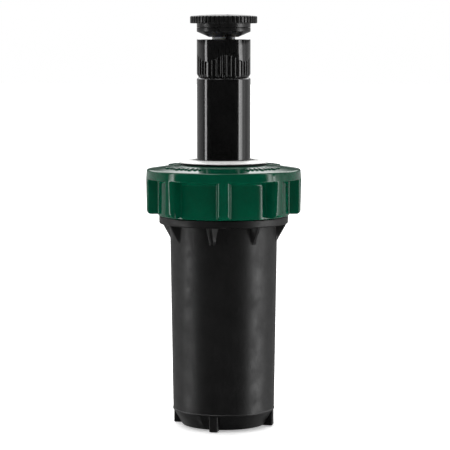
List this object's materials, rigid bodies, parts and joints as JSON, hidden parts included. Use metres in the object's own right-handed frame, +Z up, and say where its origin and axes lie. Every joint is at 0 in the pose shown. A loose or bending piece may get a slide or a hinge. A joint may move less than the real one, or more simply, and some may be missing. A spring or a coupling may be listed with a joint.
{
  "type": "pop up sprinkler",
  "caption": "Spray head whose spring-retracted riser with an adjustable nozzle slides up through a ribbed screw cap on a round case with a threaded inlet below.",
  "frame": {"origin": "centre of the circle that the four feet stand on, at the underside of the feet", "axes": "+Z up along the axis of case and riser; -Y is the front"},
  "size_m": [0.0586, 0.0586, 0.1553],
  "materials": {
    "black_plastic": "satin",
    "riser_plastic": "gloss",
    "knob_plastic": "satin",
    "green_plastic": "gloss",
    "white_plastic": "satin",
    "rubber": "matte",
    "steel": "satin"
  },
  "bodies": {
    "case_body": {"case": "black_plastic", "body_o_ring": "rubber"},
    "seal_body": {"wiper_seal": "rubber", "seal_collar": "white_plastic", "spring_washer": "white_plastic", "retract_spring": "steel"},
    "cap_body": {"cap": "green_plastic"},
    "ratchet_body": {"ratchet_ring": "white_plastic"},
    "riser_body": {"riser": "riser_plastic", "ratchet_clip": "steel", "filter_basket": "green_plastic", "nozzle_base": "riser_plastic", "nozzle_core": "white_plastic"},
    "deflector_body": {"deflector": "riser_plastic", "adjuster_knob": "knob_plastic"},
    "screw_body": {"radius_screw": "steel"},
    "throttle_body": {"throttle_plug": "white_plastic"}
  },
  "joints": [
    {"name": "cap_lift", "type": "slide", "parent": "case_body", "child": "seal_body", "axis": [0, 0, 1], "range_m": [0, 0.0076]},
    {"name": "cap_turn", "type": "hinge", "parent": "seal_body", "child": "cap_body", "pos_m": [0, 0, 0.0882], "axis": [0, 0, 1], "range_deg": [0, 900]},
    {"name": "riser_pop", "type": "slide", "parent": "seal_body", "child": "ratchet_body", "axis": [0, 0, 1], "range_m": [-0.0508, 0], "deforming": ["retract_spring"]},
    {"name": "riser_aim", "type": "hinge", "parent": "ratchet_body", "child": "riser_body", "pos_m": [0, 0, 0.0693], "axis": [0, 0, 1], "continuous": true},
    {"name": "arc_adjust", "type": "hinge", "parent": "riser_body", "child": "deflector_body", "pos_m": [0, 0, 0.1469], "axis": [0, 0, 1], "range_deg": [-170, 165]},
    {"name": "radius_turn", "type": "hinge", "parent": "riser_body", "child": "screw_body", "pos_m": [0, 0, 0.1526], "axis": [0, 0, 1], "range_deg": [-1445, 0]},
    {"name": "throttle_travel", "type": "slide", "parent": "riser_body", "child": "throttle_body", "axis": [0, 0, 1], "range_m": [0, 0.0028]}
  ],
  "couplings": [
    {"joint": "cap_lift", "follows": "cap_turn", "m_per_rad": 0.00047746},
    {"joint": "radius_turn", "follows": "throttle_travel", "rad_per_m": -8976}
  ]
}
